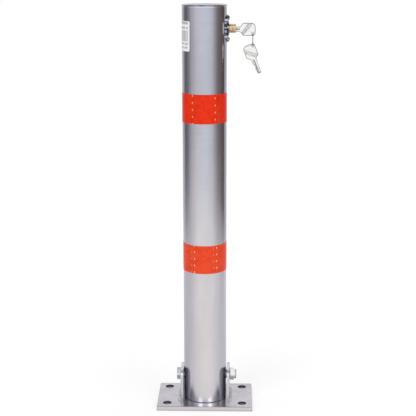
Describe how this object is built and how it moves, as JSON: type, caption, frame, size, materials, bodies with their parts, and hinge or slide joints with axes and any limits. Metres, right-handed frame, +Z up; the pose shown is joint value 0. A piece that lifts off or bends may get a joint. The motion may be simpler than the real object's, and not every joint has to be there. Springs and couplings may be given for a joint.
{
  "type": "lockable parking bollard",
  "caption": "Fold-down steel parking post on a four-hole plate, with two reflective bands and a push-in barrel lock that drives a rod into the plate.",
  "frame": {"origin": "centre of the base plate's underside", "axes": "+Z up along the post, +X towards the lock along the pivot bolt, -Y towards the front; the post folds towards +Y"},
  "size_m": [0.1818, 0.11, 0.7108],
  "materials": {
    "plate_steel": "pale brushed",
    "ear_steel": "pale brushed",
    "zinc": "bright zinc plated",
    "nylon": "plain",
    "tube_steel": "polished",
    "tape": "reflective tape",
    "sticker": "satin paper",
    "chrome": "polished",
    "inner_steel": "plain",
    "spring_steel": "drawn wire",
    "brass": "turned",
    "key_nickel": "nickel plated"
  },
  "bodies": {
    "base": {"base_plate": "plate_steel", "ear_left": "ear_steel", "ear_right": "ear_steel", "pivot_bolt": "zinc", "pivot_nut": "zinc", "nut_insert": "nylon"},
    "post": {"post_tube": "tube_steel", "top_cap": "tube_steel", "reflective_band_upper": "tape", "reflective_band_lower": "tape", "label_sticker": "sticker", "pivot_sleeve": "inner_steel", "lock_housing": "chrome", "housing_screws": "chrome", "rod_guide_upper": "inner_steel", "rod_guide_lower": "inner_steel", "barrel_spring": "spring_steel"},
    "rod": {"lock_rod": "inner_steel", "follower_pin": "inner_steel"},
    "barrel": {"lock_barrel": "brass", "retaining_pin": "brass", "latch_bolt": "inner_steel", "driver_pins": "brass", "cam_plate": "inner_steel", "cam_rivet": "inner_steel"},
    "key": {"key_plug": "brass", "key_pins": "brass", "key": "key_nickel"},
    "ring": {"key_ring": "key_nickel"},
    "spare": {"spare_key": "key_nickel"}
  },
  "joints": [
    {"name": "post_fold", "type": "hinge", "parent": "base", "child": "post", "pos_m": [0, 0, 0.0495], "axis": [-1, 0, 0], "range_deg": [0, 90]},
    {"name": "lock_push", "type": "slide", "parent": "post", "child": "barrel", "axis": [-1, 0, 0], "range_m": [0, 0.01], "stiffness_N_per_m": 600, "springref_m": -0.012, "deforming": ["barrel_spring"]},
    {"name": "rod_drop", "type": "slide", "parent": "post", "child": "rod", "axis": [0, 0, -1], "range_m": [0, 0.01]},
    {"name": "key_turn", "type": "hinge", "parent": "barrel", "child": "key", "pos_m": [0.0534, 0, 0.6689], "axis": [-1, 0, 0], "range_deg": [0, 90]},
    {"name": "ring_swing", "type": "hinge", "parent": "key", "child": "ring", "pos_m": [0.0821, 0, 0.6615], "axis": [0, 1, 0], "range_deg": [-20, 20]},
    {"name": "spare_key_swing", "type": "hinge", "parent": "ring", "child": "spare", "pos_m": [0.0821, 0, 0.6415], "axis": [0, 1, 0], "range_deg": [-25, 25]}
  ],
  "couplings": [
    {"joint": "rod_drop", "follows": "lock_push", "ratio": 1}
  ]
}
